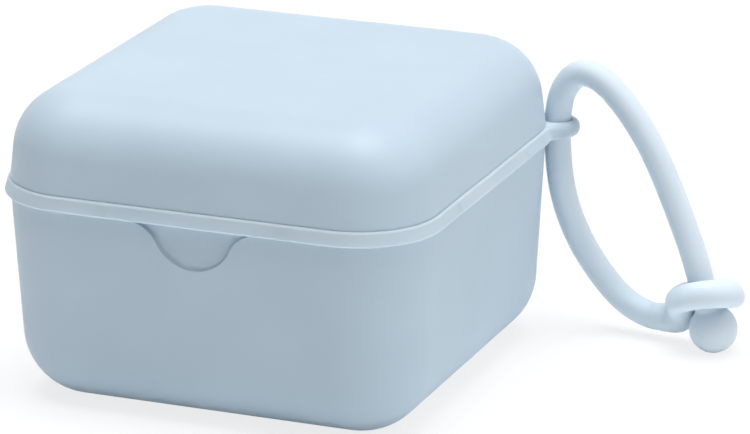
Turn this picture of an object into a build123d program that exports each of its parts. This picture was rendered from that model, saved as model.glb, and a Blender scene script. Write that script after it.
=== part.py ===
"""Microwave steam case for soothers: a rounded square box with a hinged lid.

The base carries a silicone seal band round its collar, and the lid rests on the band.
A thumb recess in the front wall lets the thumb push the band's soft bead up, which
lifts the lid.  The band widens into an eye at one rear corner, and a silicone strap
loop hangs in the eye, closed by a ball end drawn through a ring end.  A perforated rack
inside keeps the contents above the water.

Frame: origin at the centre of the face that the case rests on, +Z up, front at -Y,
hinge at +Y.  Millimetres and degrees.
"""

from build123d import *
import math
import os

# ---------------------------------------------------------------- case
CASE_SIDE = 90.0  # across the flats at the rim
CORNER_R = 16.0  # plan radius of the corners at the rim
SHOULDER_Z = 42.6  # top of the base's outer wall
LID_HEIGHT = 17.8
WALL = 2.2
FLOOR = 2.2
LID_TOP = 2.2
BASE_DRAFT = 3.4
LID_DRAFT = 6.7
BASE_ROUND = 14.0  # rounding between the base's walls and its underside
LID_ROUND = 12.8  # rounding between the lid's walls and its top
RIM_EDGE = 0.2  # bevel along the lower edge of the lid

# ---------------------------------------------------------------- collar and seal band
SEAT_WIDTH = 1.6  # shoulder that the band sits on
BAND_HEIGHT = 3.4
BEAD_PROUD = 1.2  # how far the bead stands out of the wall
BEAD_BEVEL = 0.7  # the soft bead's round edge, drawn as a bevel
BAND_STRETCH = 0.05  # room between the collar and the band
COLLAR_WALL = 1.5
COLLAR_RISE = 2.5  # how far the collar stands up inside the lid
COLLAR_LEAD = 0.5  # bevel that guides the lid on
LEDGE_DROP = 3.0  # thickened rim below the shoulder
LID_GAP = 0.25  # running room between collar and lid

# ---------------------------------------------------------------- strap eye on the band
EYE_STANDOFF = 3.3  # eye's centre from the corner's wall
EYE_ANGLE = 34.0  # round the rear right corner, from +X
EYE_R = 4.6
EYE_HOLE_R = 2.95
EYE_WEB_R = 4.0  # hollow blend between the bead and the eye

# ---------------------------------------------------------------- thumb recess
RECESS_WIDTH = 26.4
RECESS_HEIGHT = 8.5
RECESS_ROUND = 8.4  # radius of the bottom of the bell
RECESS_DEPTH = 1.5  # at the rim; the floor of the recess is upright
BOSS_MARGIN = 2.0  # how far the wall behind the recess is thickened past it

# ---------------------------------------------------------------- hinge
AXIS_OUT = 3.9  # hinge axis behind the rear wall
AXIS_UP = 1.9  # hinge axis above the shoulder
KNUCKLE_R = 3.2
KNUCKLE_HALF = 11.7
STOP_REACH = 3.1  # squared corner of the ear, up and back from the axis
HINGE_PLAY = 0.3  # side gap between knuckle and ear
EAR_WIDTH = 6.0
EAR_FOOT = 8.3  # how far down the rear wall the ear's gusset reaches
ARM_CLEAR = 0.5  # arm above the lid's lower edge
ARM_RISE = 3.3  # how far the arm's top climbs from the knuckle to the wall
ROOT_IN = 1.1  # how deep ears and arm are rooted in the walls
BEAD_CUT_PLAY = 1.0  # bead stops this far from the ears
PIN_R = 1.5
PIN_FIT = 0.02  # radial room in the ears
PIN_RUN = 0.06  # radial room in the knuckle
PIN_BEVEL = 0.3

# ---------------------------------------------------------------- steam rack
RACK_GAP = 1.3  # between the rack and the base's wall
RACK_THICK = 2.0
RACK_LEG_H = 9.0
RACK_LEG_R = 3.0
RACK_LEG_PITCH = 51.0
NOTCH_R = 7.0  # finger notches that the rack is lifted by
SLOT_WIDTH = 3.0
SLOT_LENGTH = 26.0
SLOT_PITCH_X = 10.0
SLOT_PITCH_Y = 34.0
SLOT_COLUMNS = 5
SLOT_ROWS = 2

# ---------------------------------------------------------------- strap
CORD_R = 2.75
BALL_R = 5.0
BALL_CENTRE = (80.15, 36.8, BALL_R)  # the ball lies on what the case stands on
NECK_LENGTH = 6.3  # from the ball's centre to the cord
RING_OUTER_R = 8.2
RING_HOLE_R = 2.95
RING_THICK = 5.4
RING_BEVEL = 1.8  # the soft ring's round section, drawn as a bevel
RING_RISE = 7.2  # ring's centre along the neck, from the ball's centre
RING_FACING = (-0.17, 0.25, 0.95)  # the ring is nearly level, lowest at the cord's root
RING_ROOT = 5.5  # how far the cord's root runs on into the ring
PASSAGE_PLAY = 0.2  # radial room round the cord in the ring
ARC_SHARE = 0.45  # part of the shorter run that each bend takes
# Points that the cord turns at, from above the ball's neck to the ring.
CORD_ROUTE = [
    (76.2, 36.9, 19.4),
    (71.4, 37.5, 30.8),
    (66.1, 38.0, 42.1),
    (59.9, 38.5, 50.6),
    (54.1, 39.2, 55.6),
    (49.1, 39.6, 56.1),
    (45.9, 39.8, 51.9),
    (45.05, 39.8, 46.8),
    (45.0, 39.8, 39.8),
    (45.5, 40.1, 30.3),
    (48.2, 40.8, 21.5),
    (52.5, 41.7, 13.7),
    (58.4, 42.8, 5.8),
    (65.3, 43.2, 2.95),
    (72.2, 43.5, 3.5),
    (74.9, 43.3, 6.4),
]

# ---------------------------------------------------------------- places worked out
HALF = CASE_SIDE / 2
PARTING_Z = SHOULDER_Z + BAND_HEIGHT  # the lid's lower edge
COLLAR_TOP = PARTING_Z + COLLAR_RISE
COLLAR_INSET = SEAT_WIDTH + COLLAR_WALL  # the collar's bore, in from the outer wall
LEDGE_Z = SHOULDER_Z - LEDGE_DROP
AXIS_Y = HALF + AXIS_OUT
AXIS_Z = SHOULDER_Z + AXIS_UP
EAR_IN = KNUCKLE_HALF + HINGE_PLAY
EAR_OUT = EAR_IN + EAR_WIDTH
CORNER_CENTRE = HALF - CORNER_R
RACK_Z = FLOOR + RACK_LEG_H  # underside of the rack's plate


def drafted_inset(z):
    """How far the base's draft has drawn its walls in at height z."""
    return (SHOULDER_Z - z) * math.tan(math.radians(BASE_DRAFT))


def block(inset, z, height, draft=0.0):
    """Rounded square block that starts at z, its sides the given distance in from the wall."""
    plan = RectangleRounded(CASE_SIDE - 2 * inset, CASE_SIDE - 2 * inset, CORNER_R - inset)
    return extrude(Plane.XY.offset(z) * plan, amount=height, taper=draft)


def side_profile(*shapes, x_from, x_to):
    """Solid of a profile drawn in Y and Z, between two X positions."""
    plane = Plane.YZ.offset(x_from)
    profile = Sketch() + [plane * shape for shape in shapes]
    return extrude(profile, amount=x_to - x_from)


def bell(grow=0.0):
    """Bell outline of the thumb recess in X and Z: a round bottom that flares into the rim."""
    reach = RECESS_WIDTH / 2
    radii = (reach**2 + RECESS_HEIGHT**2) / (2 * RECESS_HEIGHT)
    bottom = Vector(0, SHOULDER_Z - RECESS_HEIGHT + RECESS_ROUND)
    flare = Vector(reach, SHOULDER_Z - (radii - RECESS_ROUND))
    across = (flare - bottom).normalized()
    low_r = RECESS_ROUND + grow
    flare_r = radii - RECESS_ROUND - grow
    meet = bottom + across * low_r
    rim = flare + Vector(0, flare_r)
    bend = flare + ((rim - flare).normalized() - across).normalized() * flare_r
    top = SHOULDER_Z + 0.001
    right = [ThreePointArc(meet, bend, rim), Line(rim, (rim.X, top))]
    left = [edge.mirror(Plane.YZ) for edge in right]
    low = ThreePointArc((-meet.X, meet.Y), bottom - Vector(0, low_r), meet)
    lid_line = Line((-rim.X, top), (rim.X, top))
    return make_face(Curve() + right + left + [low, lid_line])


def front_solid(outline, y_from, y_to):
    """Solid of an outline drawn in X and Z, between two Y positions behind the front wall."""
    face = Plane(origin=(0, y_from, 0), x_dir=(1, 0, 0), z_dir=(0, -1, 0)) * outline
    return extrude(face, amount=y_from - y_to)


def bottom_edges(solid):
    return solid.edges().group_by(Axis.Z)[0]


def top_edges(solid):
    return solid.edges().group_by(Axis.Z)[-1]


def pin_hole(room):
    """Cutter along the hinge axis, as long as the hinge is wide."""
    length = 2 * EAR_OUT + 2
    return Plane(origin=(0, AXIS_Y, AXIS_Z), z_dir=(1, 0, 0)) * Cylinder(PIN_R + room, length)


# ---------------------------------------------------------------- base
def hinge_ears():
    """Two ears on gussets.  The squared top corner of each is the stop for the open lid."""
    low, high = SHOULDER_Z - EAR_FOOT, SHOULDER_Z - 0.1
    root = HALF - ROOT_IN
    barrel = Pos(AXIS_Y, AXIS_Z) * Circle(KNUCKLE_R)
    stop = Pos(AXIS_Y, AXIS_Z) * Pos(STOP_REACH / 2, STOP_REACH / 2) * Rectangle(STOP_REACH, STOP_REACH)
    gusset = Polygon(
        (root, low),
        (AXIS_Y + KNUCKLE_R, AXIS_Z),
        (AXIS_Y - KNUCKLE_R, AXIS_Z),
        (AXIS_Y - KNUCKLE_R, high),
        (root, high),
        align=None,
    )
    ear = side_profile(barrel, stop, gusset, x_from=EAR_IN, x_to=EAR_OUT)
    return ear + ear.mirror(Plane.YZ)


def make_base():
    outer = block(0, SHOULDER_Z, -SHOULDER_Z, BASE_DRAFT)
    outer = fillet(bottom_edges(outer), BASE_ROUND)
    collar = block(SEAT_WIDTH, SHOULDER_Z, COLLAR_TOP - SHOULDER_Z)
    collar = chamfer(top_edges(collar), COLLAR_LEAD)

    wall_in = WALL + drafted_inset(LEDGE_Z)
    cavity = block(wall_in, LEDGE_Z, FLOOR - LEDGE_Z, BASE_DRAFT)
    cavity = fillet(bottom_edges(cavity), max(BASE_ROUND - WALL, 1.0))
    bevel = block(wall_in, LEDGE_Z, COLLAR_INSET - wall_in, 45)
    boss = front_solid(bell(BOSS_MARGIN), -HALF, COLLAR_INSET - HALF)
    throat = block(COLLAR_INSET, LEDGE_Z, COLLAR_TOP - LEDGE_Z)
    recess = front_solid(bell(), -HALF - 1, RECESS_DEPTH - HALF)

    base = outer + collar + hinge_ears() - (cavity + bevel - boss) - throat
    return base - recess - pin_hole(PIN_FIT)


# ---------------------------------------------------------------- lid
def make_lid():
    outer = block(0, PARTING_Z, LID_HEIGHT, LID_DRAFT)
    outer = fillet(top_edges(outer), LID_ROUND)
    outer = chamfer(bottom_edges(outer), RIM_EDGE)
    inner = block(WALL, PARTING_Z, LID_HEIGHT - LID_TOP, LID_DRAFT)
    inner = fillet(top_edges(inner), LID_ROUND - WALL)
    skirt = block(SEAT_WIDTH - LID_GAP, PARTING_Z, COLLAR_RISE + LID_GAP)

    root = HALF - ROOT_IN
    barrel = Pos(AXIS_Y, AXIS_Z) * Circle(KNUCKLE_R)
    arm = Polygon(
        (AXIS_Y, AXIS_Z),
        (AXIS_Y, AXIS_Z + KNUCKLE_R),
        (root, AXIS_Z + KNUCKLE_R + ARM_RISE),
        (root, PARTING_Z + ARM_CLEAR),
        (AXIS_Y - KNUCKLE_R, PARTING_Z + ARM_CLEAR),
        align=None,
    )
    knuckle = side_profile(barrel, arm, x_from=-KNUCKLE_HALF, x_to=KNUCKLE_HALF)
    return outer - inner - skirt + knuckle - pin_hole(PIN_RUN)


# ---------------------------------------------------------------- seal band
def make_band():
    """Silicone band whose bead stands out of the walls, widened into an eye for the strap."""
    plan = RectangleRounded(
        CASE_SIDE + 2 * BEAD_PROUD, CASE_SIDE + 2 * BEAD_PROUD, CORNER_R + BEAD_PROUD
    )
    turn = math.radians(EYE_ANGLE)
    reach = CORNER_R + EYE_STANDOFF
    eye_at = Pos(
        CORNER_CENTRE + reach * math.cos(turn), CORNER_CENTRE + reach * math.sin(turn)
    )
    joined = plan + eye_at * Circle(EYE_R)
    web_corners = [
        v
        for v in joined.vertices()
        if abs((Vector(v) - Vector(eye_at.position)).length - EYE_R) < 0.01
    ]
    joined = fillet(web_corners, EYE_WEB_R)
    ring = extrude(Pos(0, 0, SHOULDER_Z) * joined, amount=BAND_HEIGHT)
    ring = chamfer(top_edges(ring) + bottom_edges(ring), BEAD_BEVEL)
    hole = Pos(0, 0, SHOULDER_Z + BAND_HEIGHT / 2) * eye_at * Cylinder(EYE_HOLE_R, 3 * BAND_HEIGHT)
    ring = ring - hole
    bore = block(SEAT_WIDTH - BAND_STRETCH, SHOULDER_Z - 1, BAND_HEIGHT + 2)
    cut_half = EAR_OUT + BEAD_CUT_PLAY
    bead_cut = Pos(0, HALF + BEAD_PROUD, PARTING_Z) * Box(
        2 * cut_half, 2 * BEAD_PROUD, 3 * BAND_HEIGHT
    )
    return ring - bore - bead_cut


# ---------------------------------------------------------------- hinge pin
def make_pin():
    pin = Plane(origin=(0, AXIS_Y, AXIS_Z), z_dir=(1, 0, 0)) * Cylinder(PIN_R, 2 * EAR_OUT)
    return chamfer(pin.edges().filter_by(GeomType.CIRCLE), PIN_BEVEL)


# ---------------------------------------------------------------- steam rack
def make_rack():
    inset = WALL + drafted_inset(RACK_Z) + RACK_GAP
    plate = block(inset, RACK_Z, RACK_THICK)
    leg = Pos(0, 0, FLOOR + RACK_LEG_H / 2) * Cylinder(RACK_LEG_R, RACK_LEG_H)
    legs = [at * leg for at in GridLocations(RACK_LEG_PITCH, RACK_LEG_PITCH, 2, 2)]
    slot = extrude(
        Plane.XY.offset(RACK_Z - 1) * SlotOverall(SLOT_LENGTH, SLOT_WIDTH, rotation=90),
        amount=RACK_THICK + 2,
    )
    grid = GridLocations(SLOT_PITCH_X, SLOT_PITCH_Y, SLOT_COLUMNS, SLOT_ROWS)
    slots = [at * slot for at in grid]
    side = HALF - inset
    notch = Pos(side, 0, RACK_Z) * Cylinder(NOTCH_R, 4 * RACK_THICK)
    return plate + legs - slots - [notch, notch.mirror(Plane.YZ)]


# ---------------------------------------------------------------- strap
def neck():
    """Direction from the ball's centre up the cord."""
    return (Vector(*CORD_ROUTE[0]) - Vector(*BALL_CENTRE)).normalized()


def along_neck(distance):
    return Vector(*BALL_CENTRE) + neck() * distance


def make_cord():
    points = [along_neck(NECK_LENGTH)] + [Vector(*point) for point in CORD_ROUTE]
    runs = [b - a for a, b in zip(points, points[1:])]
    radii = []
    for before, after in zip(runs, runs[1:]):
        half_turn = math.radians(before.get_angle(after)) / 2
        radii.append(ARC_SHARE * min(before.length, after.length) / math.tan(half_turn))
    path = FilletPolyline(*points, radius=radii)
    print("cord bend radii:", [round(radius, 1) for radius in radii])
    cord = sweep(Plane(path @ 0, z_dir=path % 0) * Circle(CORD_R), path=path)
    share = cord.volume / (math.pi * CORD_R**2 * path.length)
    print("cord length", round(path.length, 1), "volume over section times length", round(share, 4))
    return cord


def make_ball():
    """Ball with the short neck that the cord grows out of."""
    stem = Plane(origin=along_neck(0), z_dir=neck()) * Cylinder(
        CORD_R, NECK_LENGTH, align=(Align.CENTER, Align.CENTER, Align.MIN)
    )
    return Pos(*BALL_CENTRE) * Sphere(BALL_R) + stem


def make_ring():
    """Ring round the neck, with the root of the cord's other end on its underside."""
    width = RING_OUTER_R - RING_HOLE_R
    section = chamfer(Rectangle(width, RING_THICK).vertices(), RING_BEVEL)
    section = Plane.XZ * Pos(RING_HOLE_R + width / 2, 0) * section
    ring = Plane(origin=along_neck(RING_RISE), z_dir=RING_FACING) * revolve(section, Axis.Z)
    end = Vector(*CORD_ROUTE[-1])
    last_run = (end - Vector(*CORD_ROUTE[-2])).normalized()
    root = Plane(origin=end, z_dir=last_run) * Cylinder(
        CORD_R, RING_ROOT, align=(Align.CENTER, Align.CENTER, Align.MIN)
    )
    passage = Plane(origin=along_neck(RING_RISE), z_dir=neck()) * Cylinder(
        CORD_R + PASSAGE_PLAY, 3 * RING_THICK
    )
    return ring + root - passage


PARTS = {
    "base_shell": make_base,
    "lid_shell": make_lid,
    "seal_band": make_band,
    "hinge_pin": make_pin,
    "steam_rack": make_rack,
    "strap_cord": make_cord,
    "strap_ball": make_ball,
    "strap_ring": make_ring,
}

os.makedirs("parts", exist_ok=True)
for node, make in PARTS.items():
    export_step(make(), f"parts/{node}.step")
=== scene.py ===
# %% [markdown]
# # A steam case for soothers
# The real thing is a small microwave box of injection-moulded polypropylene.  A soft silicone
# band sits between base and lid, and a silicone strap hangs in the band's eye.  The solids
# of the model arrive ready packed as a frame, and this lesson dresses them: each visible
# piece is a surface worked out with numpy that lies on its solid, and where the real thing
# is soft or rounded it departs from the solid by a millimetre or so.  The strap's soft lower
# end departs most: its skin lies up to four millimetres from the solid's.

# %% The frame and its box
import bmesh
import bpy
import numpy as np
from mathutils import Matrix


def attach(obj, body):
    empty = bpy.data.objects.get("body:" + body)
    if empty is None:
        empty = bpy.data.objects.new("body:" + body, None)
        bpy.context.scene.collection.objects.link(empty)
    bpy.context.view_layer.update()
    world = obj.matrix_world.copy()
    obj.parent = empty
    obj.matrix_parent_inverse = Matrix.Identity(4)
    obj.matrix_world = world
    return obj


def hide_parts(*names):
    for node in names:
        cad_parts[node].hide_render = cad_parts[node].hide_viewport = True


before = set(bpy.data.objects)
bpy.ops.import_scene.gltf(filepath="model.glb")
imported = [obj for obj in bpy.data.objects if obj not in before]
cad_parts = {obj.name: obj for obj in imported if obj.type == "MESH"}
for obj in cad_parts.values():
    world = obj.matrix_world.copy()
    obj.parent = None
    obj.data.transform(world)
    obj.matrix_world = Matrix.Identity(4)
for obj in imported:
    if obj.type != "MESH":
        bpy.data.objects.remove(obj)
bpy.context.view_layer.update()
MM = 0.001  # the arithmetic below is in millimetres, and Blender's is in metres

# %% [markdown]
# ## The camera
# A small thing is shown with a long lens from about a metre away, so that upright edges
# stay almost parallel.  A camera's matrix holds its own right, up and backward directions
# as columns, so the three directions and the place can be written in directly, with
# nothing turned by hand.

# %% The camera
CAMERA_AT = (360.750, -832.395, 332.302)
CAMERA_RIGHT = (0.92619, 0.37702, -0.00545)
CAMERA_UP = (-0.11413, 0.29409, 0.94894)
CAMERA_BACK = (0.35937, -0.87828, 0.31541)
SENSOR_WIDTH = 36.0
FOCAL_LENGTH = 225.75
CLIP_NEAR, CLIP_FAR = 0.05, 30.0  # metres; the floor reaches six metres out

lens = bpy.data.cameras.new("long_lens")
lens.sensor_fit = "HORIZONTAL"
lens.sensor_width = SENSOR_WIDTH
lens.lens = FOCAL_LENGTH
lens.clip_start, lens.clip_end = CLIP_NEAR, CLIP_FAR
camera = bpy.data.objects.new("camera", lens)
bpy.context.scene.collection.objects.link(camera)
placing = np.eye(4)
placing[:3, 0], placing[:3, 1], placing[:3, 2] = CAMERA_RIGHT, CAMERA_UP, CAMERA_BACK
placing[:3, 3] = np.array(CAMERA_AT) * MM
camera.matrix_world = Matrix(placing.tolist())
bpy.context.scene.camera = camera
bpy.context.scene.view_settings.view_transform = "Standard"
print("camera at", CAMERA_AT, "mm with a", FOCAL_LENGTH, "mm lens")

# %% [markdown]
# ## The strap's cord
# The strap is one soft moulding: a round cord with a ball at one end and a ring at the
# other.  The cord could be a mesh tube, but a curve with a bevel keeps its length and its
# thickness as plain numbers.  A NURBS spline of order 3 takes the turning points as
# control points and glides past them, as a rubbery cord does.  The order is set after the
# points are added, because before that a spline has too few points for it.

# %% The strap's cord
CORD_R = 2.75
CORD_ROUTE = [
    (78.483, 36.842, 11.075),
    (76.2, 36.9, 19.4),
    (71.4, 37.5, 30.8),
    (66.1, 38.0, 42.1),
    (59.9, 38.5, 50.6),
    (54.1, 39.2, 55.6),
    (49.1, 39.6, 56.1),
    (45.8, 39.7, 51.9),
    (44.8, 39.6, 46.8),
    (44.75, 39.6, 39.8),
    (45.5, 40.1, 30.3),
    (48.2, 40.8, 21.5),
    (52.5, 41.7, 13.7),
    (58.7, 41.8, 6.8),
    (65.1, 40.6, 4.6),
    (68.2, 39.9, 5.0),
    (70.3, 39.3, 5.5),
]
line = bpy.data.curves.new("strap_line", "CURVE")
line.dimensions = "3D"
spline = line.splines.new("NURBS")
spline.points.add(len(CORD_ROUTE) - 1)
route = np.c_[np.array(CORD_ROUTE) * MM, np.ones(len(CORD_ROUTE))]
spline.points.foreach_set("co", route.ravel())
spline.order_u = 3
spline.use_endpoint_u = True
spline.resolution_u = 10
line.bevel_depth = CORD_R * MM
line.bevel_resolution = 10
cord = bpy.data.objects.new("strap_tube", line)
bpy.context.scene.collection.objects.link(cord)

# %% [markdown]
# ## Paths and profiles
# Base, lid and band are the same idea: a profile carried round a rounded square.  Each
# column of the mesh stands on a centre C with an outward direction N, and a profile point
# with inset d and height z lands at C + (R - d) N.  Along a side C slides and N stays,
# round a corner C stays and N turns, so every inset gives a true parallel of the wall.

# %% The rounded square path
CASE_SIDE = 90.0
CORNER_R = 16.0
HALF = CASE_SIDE / 2
CORNER_CENTRE = HALF - CORNER_R


def square_path(front, side, corner_steps):
    """Centres and outward directions once round the case, anticlockwise from above.

    Side k has the heading h = k 90 - 90 degrees and N = (cos h, sin h), and C is N times the
    corner distance plus t times N turned by 90 degrees, with t from front or side.  In the
    corner after it C stays at that side's end, and N = (cos a, sin a) with a from h to h + 90.
    """
    centres, facing = [], []
    turn = np.linspace(0, np.pi / 2, corner_steps + 1)[1:-1]
    for k, along in enumerate((front, side, side, side)):
        h = (k - 1) * np.pi / 2
        normal = np.array([np.cos(h), np.sin(h)])
        tangent = np.array([-np.sin(h), np.cos(h)])
        end = CORNER_CENTRE * (normal + tangent)
        centres += [CORNER_CENTRE * normal + along[:, None] * tangent, np.tile(end, (len(turn), 1))]
        corner = np.stack([np.cos(h + turn), np.sin(h + turn)], 1)
        facing += [np.tile(normal, (len(along), 1)), corner]
    return np.concatenate(centres), np.concatenate(facing)


EVEN_SIDE = np.linspace(-CORNER_CENTRE, CORNER_CENTRE, 25)
print("a plain path has", len(square_path(EVEN_SIDE, EVEN_SIDE, 20)[0]), "columns")

# %% [markdown]
# A moulded profile has no sharp corner: the steel of the mould is milled with a radius
# everywhere.  So profiles are written as the few corners that a drawing would give, each
# with its radius, and one function turns the corners into arcs.

# %% Softened profiles
def unit(v):
    return v / np.linalg.norm(v)


def soften(corners, steps=8):
    """Polyline through (inset, height) corners with an arc of radius r at each (x, z, r).

    The arc touches both runs at r / tan(half the inner angle) from the corner.  Its centre
    lies on the bisector at r / sin(half), and its points turn evenly from touch to touch.
    """
    points = [np.array(corners[0][:2])[None]]
    for before, here, after in zip(corners, corners[1:], corners[2:]):
        corner, r = np.array(here[:2]), here[2]
        if r == 0:
            points.append(corner[None])
            continue
        back, on = unit(np.array(before[:2]) - corner), unit(np.array(after[:2]) - corner)
        half = np.arccos(np.clip(back @ on, -1, 1)) / 2
        centre = corner + unit(back + on) * r / np.sin(half)
        start, end = corner + back * r / np.tan(half), corner + on * r / np.tan(half)
        sweep = np.pi - 2 * half
        t = np.linspace(0, 1, steps * (1 + int(r > 5) * 2))[:, None]
        arc = np.sin((1 - t) * sweep) * (start - centre) + np.sin(t * sweep) * (end - centre)
        points.append(centre + arc / np.sin(sweep))
    points.append(np.array(corners[-1][:2])[None])
    return np.concatenate(points)


def refine(profile, longest):
    """Adds even points so that no span is longer than longest(its middle)."""
    points = [profile[:1]]
    for a, b in zip(profile, profile[1:]):
        parts = max(1, int(np.ceil(np.linalg.norm(b - a) / longest((a + b) / 2))))
        points.append(a + (b - a) * (np.arange(1, parts + 1) / parts)[:, None])
    return np.concatenate(points)


# %% [markdown]
# ## From grids to meshes
# A grid of points becomes quads by index arithmetic.  Rows follow the profile and columns
# follow the path, and rows times columns taken in that order makes faces point outwards.

# %% Grids and meshes
def grid_faces(rows, columns, closed_rows=False):
    """Quads between neighbouring rows, the last column joined to the first."""
    row = np.arange(rows if closed_rows else rows - 1)
    low, high = row * columns, ((row + 1) % rows) * columns
    here, there = np.arange(columns), (np.arange(columns) + 1) % columns
    low, high = low[:, None], high[:, None]
    quads = np.stack([low + here, low + there, high + there, high + here], -1)
    return quads.reshape(-1, 4).tolist()


def fan(pole, ring, outward):
    """Triangles from a pole to a ring of vertices, turned over where outward is False."""
    turned = np.roll(ring, -1)
    pair = (ring, turned) if outward else (turned, ring)
    return np.stack([np.full(len(ring), pole), *pair], 1).tolist()


def new_piece(name, points, faces, sharp=40.0):
    """Mesh object at the origin from points in millimetres, smooth up to a sharp angle."""
    mesh = bpy.data.meshes.new(name)
    mesh.from_pydata((np.asarray(points, float) * MM).tolist(), [], faces)
    mesh.update()
    mesh.shade_smooth()
    mesh.set_sharp_from_angle(angle=np.radians(sharp))
    piece = bpy.data.objects.new(name, mesh)
    bpy.context.scene.collection.objects.link(piece)
    return piece


def even_normals(piece):
    """Lets big flat faces keep their own direction where they meet small rounded ones."""
    weighted = piece.modifiers.new("even_normals", "WEIGHTED_NORMAL")
    weighted.keep_sharp = True
    weighted.weight = 100


def bake(piece):
    """Replaces a piece's mesh by what its modifiers make of it."""
    graph = bpy.context.evaluated_depsgraph_get()
    finished = bpy.data.meshes.new_from_object(piece.evaluated_get(graph))
    piece.modifiers.clear()
    piece.data = finished


def cut(piece, cutter):
    """Takes the cutter's volume out of the piece, then removes the cutter."""
    hole = piece.modifiers.new("hole", "BOOLEAN")
    hole.operation, hole.solver, hole.object = "DIFFERENCE", "EXACT", cutter
    bake(piece)
    bpy.data.objects.remove(cutter)


def carried(name, profile, centres, facing, inset=None):
    """Closed shell of a profile carried round the path, its two ends closed at poles.

    Point (row, column) is C + (R - d) N at height z, with d from the profile or, where the
    wall is given point by point, from the array inset of rows by columns.
    """
    if inset is None:
        inset = np.repeat(profile[:, :1], len(centres), 1)
    flat = centres[None] + (CORNER_R - inset)[..., None] * facing[None]
    height = np.repeat(profile[:, 1:], len(centres), 1)[..., None]
    points = np.concatenate([flat, height], -1).reshape(-1, 3)
    count, columns = len(points), len(centres)
    poles = [[0, 0, profile[0, 1]], [0, 0, profile[-1, 1]]]
    first, last = np.arange(columns), np.arange(count - columns, count)
    faces = grid_faces(len(profile), columns)
    faces += fan(count, first, False) + fan(count + 1, last, True)
    return new_piece(name, np.concatenate([points, poles]), faces)


# %% [markdown]
# ## The base
# The base is moulded with walls 2.2 mm thick that lean out by 3.4 degrees, so that it
# leaves the mould, and a wide round runs into its underside.  A thin collar stands inside
# the rim to hold the band.  One profile describes it all, from the middle of the
# underside, up the wall, over the collar and down to the middle of the floor inside.
#
# The thumb recess is a bell-shaped dip in the front wall.  It could be cut with a Boolean,
# but a moulded dip has rounded lips, so here the wall's own points are pushed in by its
# depth, faded over a narrow width round the bell's outline.  That needs fine columns and
# rows there, and only there.

# %% Sizes of the base
SHOULDER_Z = 42.6
WALL = 2.2
FLOOR = 2.2
SEAT_WIDTH = 1.6
COLLAR_TOP = 48.5
COLLAR_INSET = 3.1
COLLAR_MIDDLE = 2.5  # where the outer and the inner profile meet on the collar's top
LEDGE_Z = 39.6
BASE_LEAN = np.tan(np.radians(3.4))
BASE_ROUND = 14.0
MID_FLAT = 15.95  # inset of the last ring before a flat face runs to its middle

INSIDE_FINE_Z = 30.0  # above this the inner wall has short rows, for the boss
BORDER_ROWS = 0.7  # length of those rows
RECESS_WIDTH = 27.8
RECESS_HEIGHT = 8.9
RECESS_ROUND = 8.4
RECESS_DEPTH = 1.05  # at the rim, because the floor of the recess is upright
RECESS_LIP = 0.32  # width over which the dip falls
RECESS_ROWS_FROM = 33.2  # height above which the outer wall's rows are fine
RECESS_STEP = 0.12  # spacing of the fine rows and columns
FINE_HALF = 15.0  # the fine columns reach this far from the middle of the front
BOSS_GROW = 2.0  # the boss behind the recess is this much bigger all round
BOSS_FADE = 1.4


def bell_distance(x, z, grow=0.0):
    """Signed distance to the bell, negative inside it.

    Its bottom is a circle round low, and its flare is the outside of a circle round flare.
    The line from low to flare tells which of the two is near, and beyond the flare's top
    the distance is to that one point.
    """
    reach = RECESS_WIDTH / 2
    radii = (reach**2 + RECESS_HEIGHT**2) / (2 * RECESS_HEIGHT)
    low_z = SHOULDER_Z - RECESS_HEIGHT + RECESS_ROUND
    flare_z = SHOULDER_Z - (radii - RECESS_ROUND)
    flare_r = radii - RECESS_ROUND - grow
    x = np.abs(x)
    below = reach * (z - low_z) < (flare_z - low_z) * x
    near_low = np.hypot(x, z - low_z) - RECESS_ROUND - grow
    near_flare = flare_r - np.hypot(x - reach, z - flare_z)
    past = np.hypot(x - reach, z - flare_z - flare_r)
    return np.where(below, near_low, np.where(x > reach, past, near_flare))


def fade(distance, width):
    """1 inside an outline and 0 outside it, as a smooth step over the given width."""
    t = np.clip(0.5 - distance / width, 0, 1)
    return t * t * (3 - 2 * t)


def dip_share(distance):
    """1 - (1 - t)^3 with t rising from 0 at the outline: crisp at the lip, soft at the foot."""
    t = np.clip((0.1 - distance) / RECESS_LIP, 0, 1)
    return 1 - (1 - t) ** 3


# %% The base's shell
foot = SHOULDER_Z * BASE_LEAN
ledge_in = WALL + (SHOULDER_Z - LEDGE_Z) * BASE_LEAN
bevel = COLLAR_INSET - ledge_in
outside = soften(
    [(MID_FLAT, 0), (foot, 0, BASE_ROUND),
     ((SHOULDER_Z - RECESS_ROWS_FROM) * BASE_LEAN, RECESS_ROWS_FROM, 0), (0, SHOULDER_Z, 0.3),
     (SEAT_WIDTH, SHOULDER_Z, 0.1), (SEAT_WIDTH, COLLAR_TOP, 0.5), (COLLAR_MIDDLE, COLLAR_TOP, 0)]
)
inside = soften(
    [(COLLAR_MIDDLE, COLLAR_TOP), (COLLAR_INSET, COLLAR_TOP, 0.3), (COLLAR_INSET, LEDGE_Z, 0.3),
     (ledge_in, LEDGE_Z - bevel, 0.5),
     (WALL + (SHOULDER_Z - INSIDE_FINE_Z) * BASE_LEAN, INSIDE_FINE_Z, 0),
     (WALL + (SHOULDER_Z - FLOOR) * BASE_LEAN, FLOOR, BASE_ROUND - WALL), (MID_FLAT, FLOOR)]
)
COARSE = 3.0  # longest row away from the recess


def outer_row(middle):
    fine = middle[1] > RECESS_ROWS_FROM and middle[0] < BORDER_ROWS
    return RECESS_STEP if fine else COARSE


def inner_row(middle):
    return BORDER_ROWS if middle[1] > INSIDE_FINE_Z else COARSE


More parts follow.
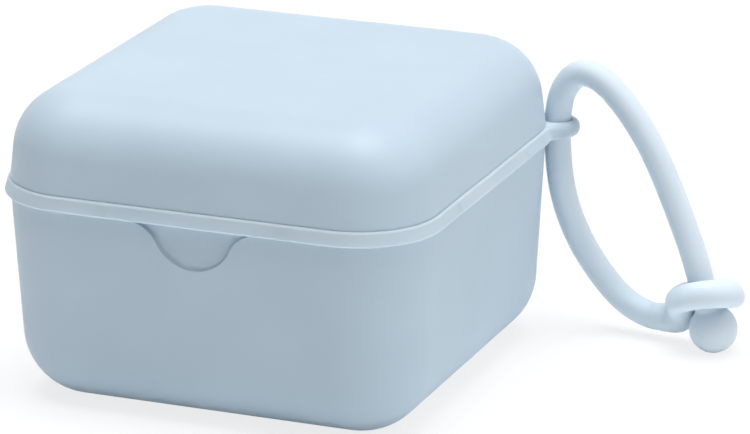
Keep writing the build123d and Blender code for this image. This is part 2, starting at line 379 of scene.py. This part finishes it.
outside, inside = refine(outside, outer_row), refine(inside, inner_row)
profile = np.concatenate([outside, inside[1:]])
fine = np.linspace(-FINE_HALF, FINE_HALF, int(2 * FINE_HALF / RECESS_STEP) + 1)
coarse = np.linspace(FINE_HALF, CORNER_CENTRE, 8)
front = np.concatenate([-coarse[:0:-1], fine, coarse[1:]])
centres, facing = square_path(front, EVEN_SIDE, 20)

inset = np.repeat(profile[:, :1], len(centres), 1)
NOWHERE = 99.0  # a place across the front that the recess never reaches
across = np.where(facing[:, 1] < -0.999, centres[:, 0], NOWHERE)[None]
up = profile[:, 1:]
outer = (np.arange(len(profile)) < len(outside))[:, None]
dip = dip_share(bell_distance(across, np.minimum(up, SHOULDER_Z)))
lean = np.clip(SHOULDER_Z - up, 0, None) * BASE_LEAN
squeeze = np.clip(1 - (inset - lean) / SEAT_WIDTH, 0, 1) * (up <= SHOULDER_Z + 0.001)
dip = dip * squeeze * (RECESS_DEPTH - lean)
boss = fade(bell_distance(across, up, BOSS_GROW), BOSS_FADE)
boss = boss * np.clip(COLLAR_INSET - inset, 0, None)
inset = inset + np.where(outer, dip, boss * (up < LEDGE_Z))
base = carried("base_case", profile, centres, facing, inset)
print("base:", len(base.data.polygons), "faces, dip", round(float(dip.max()), 2), "mm")

# %% [markdown]
# ## The lid
# The lid's walls lean in by 6.7 degrees and run into its flat top through a
# wide round.  Inside the rim a step makes room for the collar.  The profile starts in the
# middle of the ceiling, goes down inside, turns under the rim and climbs the outside.

# %% The lid's shell
PARTING_Z = 46.0
LID_HEIGHT = 17.8
LID_TOP = 2.2
LID_ROUND = 12.8
LID_LEAN = np.tan(np.radians(6.7))
LID_GAP = 0.25
LID_SINK = 0.35  # how far the lid's weight flattens the soft band
LID_PRESS = 0.45  # how far the lid's round edge beds into it
LID_EDGE = 0.8  # rounding of the lower outer edge
STEP_Z = PARTING_Z + 2.75

step_in = WALL + (STEP_Z - PARTING_Z) * LID_LEAN
lid_low = PARTING_Z - LID_SINK - LID_PRESS
ceiling = PARTING_Z + LID_HEIGHT - LID_TOP
ceiling_in = WALL + (LID_HEIGHT - LID_TOP) * LID_LEAN
lip_out = (lid_low - PARTING_Z) * LID_LEAN
profile = refine(
    soften(
        [(MID_FLAT, ceiling), (ceiling_in, ceiling, LID_ROUND - WALL),
         (step_in, STEP_Z, 0.3), (SEAT_WIDTH - LID_GAP, STEP_Z, 0.2),
         (SEAT_WIDTH - LID_GAP, lid_low, 0.3), (lip_out, lid_low, LID_EDGE),
         (LID_HEIGHT * LID_LEAN, PARTING_Z + LID_HEIGHT, LID_ROUND),
         (MID_FLAT, PARTING_Z + LID_HEIGHT)]
    ),
    lambda p: 1.5,
)
centres, facing = square_path(EVEN_SIDE, EVEN_SIDE, 24)
lid = carried("lid_case", profile, centres, facing)
print("lid:", len(lid.data.polygons), "faces")

# %% [markdown]
# ## The hinge
# Two ears on the base and a knuckle on the lid turn on a pin.  Each is a flat drawing in Y
# and Z pushed out along X, so it is built as a prism, drilled for the pin, and finished
# with a small Bevel, because every moulded edge has a little radius that catches light.

# %% Ears and knuckle
AXIS_Y, AXIS_Z = 48.9, 44.5
STOP_REACH = 3.1
KNUCKLE_R = 3.2
KNUCKLE_HALF = 11.7
EAR_IN, EAR_OUT = 12.0, 18.0
ROOT_Y = 43.9
EAR_LOW = 34.3
EAR_TOP = 42.5  # just under the shoulder, so the ear leaves the band room
ARM_LOW = PARTING_Z + 0.5
ARM_RISE = 3.3  # how far the arm climbs the lid's wall above the barrel
PIN_HOLE_R = 1.54
HINGE_BEVEL = 0.35
DRILL_REACH = 30.0  # half the drill's length, past both ends of any hinge piece


def barrel_arc(start, end, steps=28):
    """Points of the barrel's circle between two angles in degrees, in Y and Z."""
    a = np.radians(np.linspace(start, end, steps))
    return np.stack([AXIS_Y + KNUCKLE_R * np.cos(a), AXIS_Z + KNUCKLE_R * np.sin(a)], 1)


def prism(name, drawing, x_from, x_to):
    """A closed drawing in Y and Z, anticlockwise seen from +X, pushed from x_from to x_to."""
    n = len(drawing)
    ends = [np.c_[np.full(n, x), drawing] for x in (x_from, x_to)]
    i, j = np.arange(n), (np.arange(n) + 1) % n
    sides = np.stack([i, j, j + n, i + n], 1).tolist()
    caps = [i[::-1].tolist(), (i + n).tolist()]
    return new_piece(name, np.concatenate(ends), sides + caps)


def drum(name, radii, levels, centre, steps=64):
    """Turned solid along Z: circles of the given radii at the given levels, capped."""
    a = np.linspace(0, 2 * np.pi, steps, endpoint=False)
    ring = np.stack([np.cos(a), np.sin(a)], 1)
    flat = centre + np.asarray(radii)[:, None, None] * ring[None]
    height = np.repeat(np.asarray(levels, float)[:, None], steps, 1)[..., None]
    points = np.concatenate([flat, height], -1).reshape(-1, 3)
    faces = grid_faces(len(radii), steps)
    faces += [list(range(steps))[::-1], list(range(len(points) - steps, len(points)))]
    return new_piece(name, points, faces)


def drill(piece):
    """Bores the pin's hole through a hinge piece and rounds its edges."""
    bore = drum("bore", [PIN_HOLE_R] * 2, [-DRILL_REACH, DRILL_REACH], (0, 0))
    turned = np.empty(len(bore.data.vertices) * 3)
    bore.data.vertices.foreach_get("co", turned)
    turned = turned.reshape(-1, 3)[:, [2, 0, 1]] + np.array([0, AXIS_Y, AXIS_Z]) * MM
    bore.data.vertices.foreach_set("co", turned.ravel())
    cut(piece, bore)
    soft = piece.modifiers.new("soft_edges", "BEVEL")
    soft.width, soft.segments, soft.limit_method = HINGE_BEVEL * MM, 3, "ANGLE"
    soft.angle_limit = np.radians(35)
    bake(piece)
    even_normals(piece)


ear = np.concatenate(
    [[(ROOT_Y, EAR_LOW), (AXIS_Y + KNUCKLE_R, AXIS_Z),
      (AXIS_Y + STOP_REACH, AXIS_Z + STOP_REACH)],
     barrel_arc(90, 180), [(AXIS_Y - KNUCKLE_R, EAR_TOP), (ROOT_Y, EAR_TOP)]]
)
arm = np.concatenate(
    [[(ROOT_Y, ARM_LOW), (AXIS_Y - KNUCKLE_R, ARM_LOW)],
     barrel_arc(np.degrees(np.arctan2(ARM_LOW - AXIS_Z, -KNUCKLE_R)), 450, 56),
     [(ROOT_Y, AXIS_Z + KNUCKLE_R + ARM_RISE)]]
)
ears = [
    prism("hinge_ear_left", ear, -EAR_OUT, -EAR_IN),
    prism("hinge_ear_right", ear, EAR_IN, EAR_OUT),
]
knuckle = prism("hinge_knuckle", arm, -KNUCKLE_HALF, KNUCKLE_HALF)
for piece in [*ears, knuckle]:
    drill(piece)
    print(piece.name, len(piece.data.polygons), "faces")

# %% [markdown]
# ## The seal band
# The band is a flat silicone ring round the collar.  Its edge stands out of the wall as a
# soft bead that leans back a little, and at one rear corner it widens into an eye for the
# strap.  Its outline is worked out as arcs that touch each other, and every column runs from
# that outline to the bore, so the eye's flat faces need no special case.

# %% The band's outline
BAND_HEIGHT = 3.4
BEAD_PROUD = 1.2
BEAD_TOP_ROUND = 0.7
BEAD_LOW_ROUND = 0.5
BEAD_LEAN = 0.6  # how far the upper edge stands back from the lower one
EYE_ROUND = 1.6  # the eye's edge is nearly half round
BORE_R = CORNER_R - SEAT_WIDTH + 0.05
EYE_REACH = CORNER_R + 3.0
EYE_ANGLE = np.radians(34.0)
EYE_R = 4.6
EYE_HOLE_R = 2.95
EYE_WEB_R = 4.0
EYE_DROP = 0.6  # how far the eye swells below the band
EYE_FLARE = 0.7  # radius of the hole's mouth
EYE_CUT = 4.0  # half the height of the cutter that opens the hole
BEAD_CUT = 19.0  # the bead fades out this far from the middle, clear of the ears
BAND_TOP = SHOULDER_Z + BAND_HEIGHT - LID_SINK


def arc(centre, r, start, end, steps):
    """Points of a circle between two angles, and the directions from its centre to them."""
    a = np.linspace(start, end, steps)
    out = np.stack([np.cos(a), np.sin(a)], 1)
    return centre + r * out, out


bead_r = CORNER_R + BEAD_PROUD
corner = np.array([CORNER_CENTRE, CORNER_CENTRE])
web_reach = bead_r + EYE_WEB_R
web_side = EYE_R + EYE_WEB_R
swing = np.arccos((EYE_REACH**2 + web_reach**2 - web_side**2) / (2 * EYE_REACH * web_reach))
wrap = np.arccos((EYE_REACH**2 + web_side**2 - web_reach**2) / (2 * EYE_REACH * web_side))
eye = corner + EYE_REACH * np.array([np.cos(EYE_ANGLE), np.sin(EYE_ANGLE)])
parts = []
for side in (-1, 1):
    turn = EYE_ANGLE + side * swing
    web = corner + web_reach * np.array([np.cos(turn), np.sin(turn)])
    inward = turn + np.pi
    across_eye = EYE_ANGLE - side * wrap + (side + 1) * np.pi
    points, out = arc(web, EYE_WEB_R, inward, across_eye, 14)
    parts.append((points, -out) if side < 0 else (points[::-1], -out[::-1]))
bead_low = arc(corner, bead_r, 0, EYE_ANGLE - swing, 5)
bead_high = arc(corner, bead_r, EYE_ANGLE + swing, np.pi / 2, 12)
knob = arc(eye, EYE_R, EYE_ANGLE - np.pi + wrap, EYE_ANGLE + np.pi - wrap, 44)
loop = [bead_low, parts[0], knob, parts[1], bead_high]
eye_points = np.concatenate([p[1:] for p, _ in loop[:-1]] + [bead_high[0][1:-1]])
eye_facing = np.concatenate([n[1:] for _, n in loop[:-1]] + [bead_high[1][1:-1]])
print("eye at", eye.round(2), "web swings", round(float(np.degrees(swing)), 1), "degrees")

# %% The band
def build_band():
    """Section with rounded edges carried round the outline, closed on itself.

    A point on the rounded edge is P - d N, with P on the outline, N its outward direction
    and d the section's inset.  On the flat faces it runs evenly from there to the bore.
    """
    # Columns are close together where the bead fades out.
    half = np.concatenate([np.linspace(17.6, 20.2, 12), np.linspace(20.6, CORNER_CENTRE, 9)])
    wide = np.concatenate([-half[::-1], np.linspace(-16, 16, 9), half])
    centres, facing = square_path(wide, wide, 24)
    rear = facing[:, 1] > 0.999
    proud = np.where(rear, 1 - fade(np.abs(centres[:, 0]) - BEAD_CUT - 0.5, 1.4), 1.0)
    outline = centres + (CORNER_R + BEAD_PROUD * proud)[:, None] * facing
    bore = centres + BORE_R * facing
    rear_right = (np.abs(centres - corner).max(1) < 1e-6) & (np.abs(facing).max(1) < 0.9999)
    start, stop = np.flatnonzero(rear_right)[[0, -1]]
    spoke = eye_points - corner
    eye_bore = corner + BORE_R * spoke / np.linalg.norm(spoke, axis=1)[:, None]

    def swap(whole, new):
        return np.concatenate([whole[:start], new, whole[stop + 1:]])

    outline, facing = swap(outline, eye_points), swap(facing, eye_facing)
    bore, proud = swap(bore, eye_bore), swap(proud, np.ones(len(eye_points)))

    a = np.linspace(0, np.pi / 2, 9)
    sunk, lift = (1 - np.sin(a))[:, None], (1 - np.cos(a))[:, None]
    beyond = EYE_R + EYE_WEB_R - np.linalg.norm(outline - eye, axis=1)
    near_eye = np.clip(beyond / EYE_WEB_R, 0, 1)
    low_r = BEAD_LOW_ROUND + near_eye * (EYE_ROUND - BEAD_LOW_ROUND)
    top_r = BEAD_TOP_ROUND + near_eye * (EYE_ROUND - BEAD_TOP_ROUND)
    low = SHOULDER_Z - near_eye * EYE_DROP
    inset = np.concatenate([low_r * sunk, top_r * sunk[::-1] + BEAD_LEAN * (1 - near_eye)])
    level = np.concatenate([low + low_r * lift, BAND_TOP - top_r * lift[::-1]])
    edge = outline[None] - (inset * np.maximum(proud, 0.15)[None])[..., None] * facing[None]
    share = np.linspace(0, 1, 6)[:-1, None]
    under = bore + share[..., None] * (edge[0] - bore)
    over = bore + share[::-1, :, None] * (edge[-1] - bore)
    flat = np.concatenate([under, edge, over])
    dropped = np.clip(2.5 * share - 0.6, 0, 1)  # the drop starts a quarter of the way out
    low_rows = SHOULDER_Z - near_eye * EYE_DROP * dropped
    height = np.concatenate([low_rows, level, np.full(low_rows.shape, BAND_TOP)])[..., None]
    points = np.concatenate([flat, height], -1).reshape(-1, 3)
    return new_piece("seal_bead", points, grid_faces(len(flat), len(outline), True))


band = build_band()
t = np.linspace(0, np.pi / 2, 8)
eye_half = (BAND_TOP - SHOULDER_Z + EYE_DROP) / 2
flare_r = EYE_HOLE_R + EYE_FLARE * (1 - np.cos(t))
flare_z = eye_half - EYE_FLARE + EYE_FLARE * np.sin(t)
radii = np.concatenate([[flare_r[-1]], flare_r[::-1], flare_r, [flare_r[-1]]])
levels = np.concatenate([[-EYE_CUT], -flare_z[::-1], flare_z, [EYE_CUT]]) + BAND_TOP - eye_half
cut(band, drum("eye_cutter", radii, levels, eye))
even_normals(band)
print("band:", len(band.data.polygons), "faces")

# %% [markdown]
# ## The ball and the ring
# The ball end is drawn through the ring end to close the loop.  Where a cord grows out of a
# ball the mould has a small fillet, so the ball is a turned profile: most of a circle, an
# arc that touches it, and a short neck.  The ring droops at both sides of the neck, and its
# root is a tube that glides from the cord's end into the ring.  A voxel remesh melts the two
# into one skin, and a light smoothing evens it out.

# %% The ball
BALL_R = 5.0
BALL_CENTRE = np.array([80.15, 36.8, 5.0])
NECK_LENGTH = 6.3
NECK_FILLET = 1.2
neck = unit(np.array(CORD_ROUTE[1]) - BALL_CENTRE)


def frame_across(direction):
    """Two directions at right angles to the given one and to each other."""
    first = unit(np.cross(direction, (0.0, 1.0, 0.0)))
    return first, np.cross(direction, first)


def turned(origin, direction, radii, levels, steps):
    """Circles of the given radii round an axis: O + z D + r (cos a F + sin a S)."""
    first, second = frame_across(direction)
    a = np.linspace(0, 2 * np.pi, steps, endpoint=False)
    ring = np.cos(a)[:, None] * first + np.sin(a)[:, None] * second
    spine = origin + np.asarray(levels)[:, None] * direction
    return spine[:, None] + np.asarray(radii)[:, None, None] * ring[None]


neck_z = np.sqrt((BALL_R + NECK_FILLET) ** 2 - (CORD_R + NECK_FILLET) ** 2)
meet = np.arctan2(CORD_R + NECK_FILLET, neck_z)
a = np.linspace(np.pi, meet, 40)[1:]
b = np.linspace(np.pi / 2 - meet, 0, 10)[1:]
neck_r = CORD_R + NECK_FILLET * (1 - np.cos(b))
neck_end = NECK_LENGTH + 0.6  # a little way up over the cord
radii = np.concatenate([BALL_R * np.sin(a), neck_r, [CORD_R + 0.01]])
levels = np.concatenate([BALL_R * np.cos(a), neck_z - NECK_FILLET * np.sin(b), [neck_end]])
points = turned(BALL_CENTRE, neck, radii, levels, 48).reshape(-1, 3)
tip, top = len(points), len(points) + 1
poles = [BALL_CENTRE - BALL_R * neck, BALL_CENTRE + neck_end * neck]
points = np.concatenate([points, poles])
faces = grid_faces(len(radii), 48) + fan(tip, np.arange(48), False)
faces += fan(top, np.arange(tip - 48, tip), True)
ball = new_piece("strap_end_ball", points, faces, 80)
print("ball:", len(ball.data.polygons), "faces")

# %% The ring
RING_OUTER_R = 8.2
RING_HOLE_R = 2.95
RING_THICK = 5.8
RING_RISE = 7.6
RING_BOW = (1.7, 1.0)  # how far the soft ring droops left and right of the neck
SIDEWAYS = np.array([0.926, 0.377, -0.005])  # towards the side away from the cord's end
MELT_GRAIN = 0.2  # voxel size of the remesh
RING_FACING = unit(np.array([-0.17, 0.25, 0.95]))
RING_CENTRE = BALL_CENTRE + RING_RISE * neck
ROOT = [  # middle and radius of the root, from inside the cord's end up into the ring
    (65.4, 40.5, 4.7, 2.72),
    (68.4, 39.8, 5.0, 3.0),
    (72.3, 39.6, 5.2, 3.15),
    (72.6, 38.9, 7.6, 3.1),
    (72.9, 36.0, 10.0, 2.9),
    (73.7, 33.5, 11.6, 2.75),
    (74.9, 32.3, 12.3, 2.5),
]


def glide(points, steps=6):
    """Quadratic B-spline through the midpoints A, B of its spans: (1-t)^2 A + 2t(1-t) P + t^2 B."""
    middles = (points[1:] + points[:-1]) / 2
    middles[0], middles[-1] = points[0], points[-1]
    t = np.linspace(0, 1, steps, endpoint=False)[:, None]
    spans = zip(middles, points[1:-1], middles[1:])
    curve = [(1 - t) ** 2 * a + 2 * t * (1 - t) * p + t**2 * b for a, p, b in spans]
    return np.concatenate([*curve, points[-1:]])


def swept(name, spine, radii, steps=40):
    """Closed tube of circles of changing radius round a spine: P + r (cos a F + sin a S)."""
    along = np.gradient(spine, axis=0)
    circles = [turned(p, unit(d), [r], [0.0], steps)[0] for p, d, r in zip(spine, along, radii)]
    ends = [np.tile(spine[0], (steps, 1)), np.tile(spine[-1], (steps, 1))]
    points = np.concatenate([ends[0], *circles, ends[1]])
    return new_piece(name, points, grid_faces(len(spine) + 2, steps))


def build_ring():
    """Oval section turned round the ring's axis, then bowed down at both sides.

    The section is r = middle + half width cos a, z = half thickness sin a, and a point that
    lies s to the side of the neck comes down by the bow times (s / outer radius) squared.
    """
    a = np.linspace(0, 2 * np.pi, 40, endpoint=False)
    middle, half = (RING_OUTER_R + RING_HOLE_R) / 2, (RING_OUTER_R - RING_HOLE_R) / 2
    radii, levels = middle + half * np.cos(a), RING_THICK / 2 * np.sin(a)
    rings = turned(RING_CENTRE, RING_FACING, radii, levels, 96)
    aside = (rings - RING_CENTRE) @ SIDEWAYS
    bow = np.where(aside < 0, *RING_BOW) * (aside / RING_OUTER_R) ** 2
    rings = rings - bow[..., None] * RING_FACING
    return new_piece("strap_end_ring", rings.reshape(-1, 3), grid_faces(40, 96, True))


ring = build_ring()
root = glide(np.array(ROOT))
root = swept("ring_root", root[:, :3], root[:, 3])
join = ring.modifiers.new("join", "BOOLEAN")
join.operation, join.solver, join.object = "UNION", "EXACT", root
melt = ring.modifiers.new("melt", "REMESH")
melt.mode, melt.voxel_size, melt.use_smooth_shade = "VOXEL", MELT_GRAIN * MM, True
even = ring.modifiers.new("even", "SMOOTH")
even.factor, even.iterations = 0.5, 36
bake(ring)
bpy.data.objects.remove(root)
print("ring:", len(ring.data.polygons), "faces")

# %% [markdown]
# ## The rack
# The rack is a flat polypropylene moulding that keeps the contents above the water.  Its
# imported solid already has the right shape, but its edges are mathematically sharp.  A copy
# is welded, its flat faces are merged, and a Bevel gives it the small radius of the mould.

# %% The rack
def eased_copy(node, name, width):
    """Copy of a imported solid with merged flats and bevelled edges."""
    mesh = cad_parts[node].data.copy()
    work = bmesh.new()
    work.from_mesh(mesh)
    bmesh.ops.remove_doubles(work, verts=work.verts, dist=0.002 * MM)
    bmesh.ops.dissolve_limit(work, angle_limit=np.radians(0.5), verts=work.verts, edges=work.edges)
    work.to_mesh(mesh)
    work.free()
    mesh.materials.clear()
    piece = bpy.data.objects.new(name, mesh)
    bpy.context.scene.collection.objects.link(piece)
    soft = piece.modifiers.new("soft_edges", "BEVEL")
    soft.width, soft.segments, soft.limit_method = width * MM, 3, "ANGLE"
    soft.angle_limit = np.radians(40)
    bake(piece)
    piece.data.shade_smooth()
    piece.data.set_sharp_from_angle(angle=np.radians(40))
    even_normals(piece)
    return piece


RACK_BEVEL = 0.35
rack = eased_copy("steam_rack", "rack_tray", RACK_BEVEL)
print("rack:", len(rack.data.polygons), "faces")

# %% [markdown]
# ## Colours and nodes
# Colours are picked on a screen as sRGB, and Blender's sockets want linear light, so one
# function converts them.  Another adds a node with its settings and its links in one line.

# %% Colours and nodes
def linear(colour):
    """sRGB hex to linear: c / 12.92 near black, ((c + 0.055) / 1.055) ** 2.4 above it."""
    c = np.array([int(colour[i:i + 2], 16) for i in (1, 3, 5)]) / 255
    rgb = np.where(c <= 0.04045, c / 12.92, ((c + 0.055) / 1.055) ** 2.4)
    return (*rgb.tolist(), 1.0)


def add(tree, kind, sockets=None, **settings):
    """Adds a node.  A socket's value is a number, a colour or another node's output."""
    node = tree.nodes.new(kind)
    for name, value in settings.items():
        setattr(node, name, value)
    for name, value in (sockets or {}).items():
        if isinstance(value, bpy.types.NodeSocket):
            tree.links.new(value, node.inputs[name])
        else:
            node.inputs[name].default_value = value
    return node


def grain_scale(size):
    """Noise scale whose grains are about size millimetres apart in object space."""
    return 1 / (size * MM)


# %% [markdown]
# ## Moulded plastic and silicone
# Both start from the same idea.  The mould's steel is spark-eroded, which leaves a fine
# pebble on every wall, so light spreads into a soft sheen.  A slow change of tone stands
# for the flow of the melt and the thickness behind the wall.  Real spark grain is about
# 0.1 mm, far below a pixel here, so it is drawn a few times coarser.

# %% The two finishes
FLOW_SIZE = 22.0  # millimetres from one patch of tone to the next


def moulded(name, tone, deep, grain, relief, smooth, rough, ior, glow, depth):
    """Principled material: slow tone noise, grain as bump, roughness varied by the grain."""
    material = bpy.data.materials.new(name)
    material.use_nodes = True
    tree = material.node_tree
    tree.nodes.clear()
    place = add(tree, "ShaderNodeTexCoord").outputs["Object"]
    slow = add(
        tree, "ShaderNodeTexNoise",
        {"Vector": place, "Scale": grain_scale(FLOW_SIZE), "Detail": 2.0},
    )
    pebble = add(
        tree, "ShaderNodeTexNoise",
        {"Vector": place, "Scale": grain_scale(grain), "Detail": 3.0, "Roughness": 0.6},
    )
    colour = add(tree, "ShaderNodeValToRGB", {"Fac": slow.outputs["Fac"]})
    for stop, position, shade in zip(colour.color_ramp.elements, (0.35, 0.65), (deep, tone)):
        stop.position, stop.color = position, linear(shade)
    sheen = add(
        tree, "ShaderNodeMapRange",
        {"Value": pebble.outputs["Fac"], "From Min": 0.3, "From Max": 0.7,
         "To Min": smooth, "To Max": rough},
    )
    bump = add(
        tree, "ShaderNodeBump",
        {"Height": pebble.outputs["Fac"], "Strength": relief, "Distance": grain * MM / 3},
    )
    shader = add(
        tree, "ShaderNodeBsdfPrincipled",
        {"Base Color": colour.outputs["Color"], "Roughness": sheen.outputs["Result"],
         "Normal": bump.outputs["Normal"], "IOR": ior, "Subsurface Weight": glow,
         "Subsurface Scale": depth * MM},
    )
    shader.inputs["Subsurface Radius"].default_value = (1.0, 1.0, 1.0)
    add(tree, "ShaderNodeOutputMaterial", {"Surface": shader.outputs["BSDF"]})
    return material


case_plastic = moulded(
    "spark_textured_polypropylene", "#BDCFDD", "#BACCDA", 0.45, 0.10, 0.44, 0.54, 1.49, 0.15, 1.5
)
band_silicone = moulded(
    "matte_seal_silicone", "#C5D4DF", "#C1D1DD", 0.35, 0.08, 0.54, 0.66, 1.41, 0.6, 2.0
)
strap_silicone = moulded(
    "matte_strap_silicone", "#DCE8F1", "#D7E4EE", 0.35, 0.08, 0.46, 0.58, 1.41, 0.35, 2.5
)
rack_plastic = moulded(
    "satin_white_polypropylene", "#D8E0E6", "#D2DAE1", 0.40, 0.08, 0.34, 0.44, 1.49, 0.2, 1.5
)
pin_plastic = moulded(
    "polished_acetal_pin", "#C3D2DE", "#BFCEDA", 0.60, 0.04, 0.22, 0.30, 1.48, 0.05, 1.0
)
finishes = (case_plastic, band_silicone, strap_silicone, rack_plastic, pin_plastic)
print("materials:", [finish.name for finish in finishes])

# %% [markdown]
# ## Dressing
# Each piece takes its material, moves with the body its solid belongs to, and stands for that
# solid, which is hidden.

# %% Dressing
def dress(piece, material, body, nodes):
    piece.data.materials.clear()
    piece.data.materials.append(material)
    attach(piece, body)
    if nodes:
        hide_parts(*nodes)


even_normals(base)
even_normals(lid)
dress(base, case_plastic, "case", ["base_shell"])
for piece in ears:
    dress(piece, case_plastic, "case", ["base_shell"])
dress(lid, case_plastic, "lid", ["lid_shell"])
dress(knuckle, case_plastic, "lid", ["lid_shell"])
dress(band, band_silicone, "case", ["seal_band"])
dress(rack, rack_plastic, "rack", ["steam_rack"])
dress(cord, strap_silicone, "case", ["strap_cord"])
dress(ball, strap_silicone, "case", ["strap_ball"])
dress(ring, strap_silicone, "case", ["strap_ring"])
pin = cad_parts["hinge_pin"]
pin.data.materials.clear()
pin.data.materials.append(pin_plastic)

# %% [markdown]
# ## The stage
# The case stands on a white table under soft light.  A sun with a wide angle is the softest
# lamp that lights the whole floor evenly: a strong one from above, and a weaker one from the
# right.  The table gives off a little light of its own, which brightens the walls near it and
# pales the shadow.  The world adds next to nothing.  What the camera sees of it is plain
# white, chosen by Light Path, so the backdrop's brightness adds no light to the object.

# %% The stage
FILL = 0.01
KEY = 3.25
KEY_FROM = np.array([0.0, 0.02, 1.0])
SUN_ANGLE = 45.0
SIDE = 0.78
SIDE_FROM = np.array([0.79, -0.1, 0.6])
TABLE_LIGHT = 0.14  # what the table gives off, of which 1 would be white
FLOOR_GLOW = 0.75  # how far the camera sees the floor as plain white, which pales its shadow

FLOOR_R = 6000.0
FLOOR_SINK = 0.02  # keeps the floor clear of the case's flat foot

a = np.linspace(0, 2 * np.pi, 64, endpoint=False)
rim = np.stack([FLOOR_R * np.cos(a), FLOOR_R * np.sin(a), np.full(64, -FLOOR_SINK)], 1)
floor = new_piece("floor", rim, [list(range(64))])
paper = bpy.data.materials.new("white_paper_floor")
paper.use_nodes = True
tree = paper.node_tree
tree.nodes.clear()
spot = add(tree, "ShaderNodeTexCoord").outputs["Object"]
fibre = add(tree, "ShaderNodeTexNoise", {"Vector": spot, "Scale": grain_scale(2.0), "Detail": 2.0})
nap = add(
    tree, "ShaderNodeBump",
    {"Height": fibre.outputs["Fac"], "Strength": 0.02, "Distance": 0.1 * MM},
)
sheet = add(
    tree, "ShaderNodeBsdfDiffuse", {"Color": linear("#EBEDEE"), "Normal": nap.outputs["Normal"]}
)
WHITE = (1.0, 1.0, 1.0, 1.0)
glow = add(tree, "ShaderNodeEmission", {"Color": WHITE, "Strength": 1.0})
looked_at = add(tree, "ShaderNodeLightPath").outputs["Is Camera Ray"]
share = add(tree, "ShaderNodeMath", {0: looked_at, 1: FLOOR_GLOW}, operation="MULTIPLY").outputs[0]
lit = add(tree, "ShaderNodeEmission", {"Color": WHITE, "Strength": TABLE_LIGHT})
table = add(tree, "ShaderNodeAddShader", {0: sheet.outputs["BSDF"], 1: lit.outputs[0]})
blend = add(tree, "ShaderNodeMixShader", {0: share, 1: table.outputs[0], 2: glow.outputs[0]})
add(tree, "ShaderNodeOutputMaterial", {"Surface": blend.outputs[0]})
floor.data.materials.append(paper)

world = bpy.data.worlds.new("studio")
bpy.context.scene.world = world
world.use_nodes = True
tree = world.node_tree
tree.nodes.clear()
path = add(tree, "ShaderNodeLightPath").outputs
seen = add(
    tree, "ShaderNodeMath",
    {0: path["Is Camera Ray"], 1: path["Is Glossy Ray"]}, operation="MAXIMUM",
)
seen = add(
    tree, "ShaderNodeMath",
    {0: seen.outputs[0], 1: path["Is Transmission Ray"]}, operation="MAXIMUM",
)
fill = add(tree, "ShaderNodeBackground", {"Color": WHITE, "Strength": FILL})
white = add(tree, "ShaderNodeBackground", {"Color": WHITE, "Strength": 1.0})
mix = add(
    tree, "ShaderNodeMixShader", {"Fac": seen.outputs[0], 1: fill.outputs[0], 2: white.outputs[0]}
)
add(tree, "ShaderNodeOutputWorld", {"Surface": mix.outputs[0]})


def soft_sun(name, power, direction):
    """Sun of the wide soft angle.  Its matrix points its local +Z back along the direction."""
    sun = bpy.data.lights.new(name, "SUN")
    sun.energy = power
    sun.angle = np.radians(SUN_ANGLE)
    lamp = bpy.data.objects.new(name, sun)
    bpy.context.scene.collection.objects.link(lamp)
    towards = unit(direction)
    first, second = frame_across(towards)
    placing = np.eye(4)
    placing[:3, 0], placing[:3, 1], placing[:3, 2] = first, second, towards
    lamp.matrix_world = Matrix(placing.tolist())
    print(name, "from", towards.round(2))


soft_sun("soft_key", KEY, KEY_FROM)
soft_sun("soft_side", SIDE, SIDE_FROM)
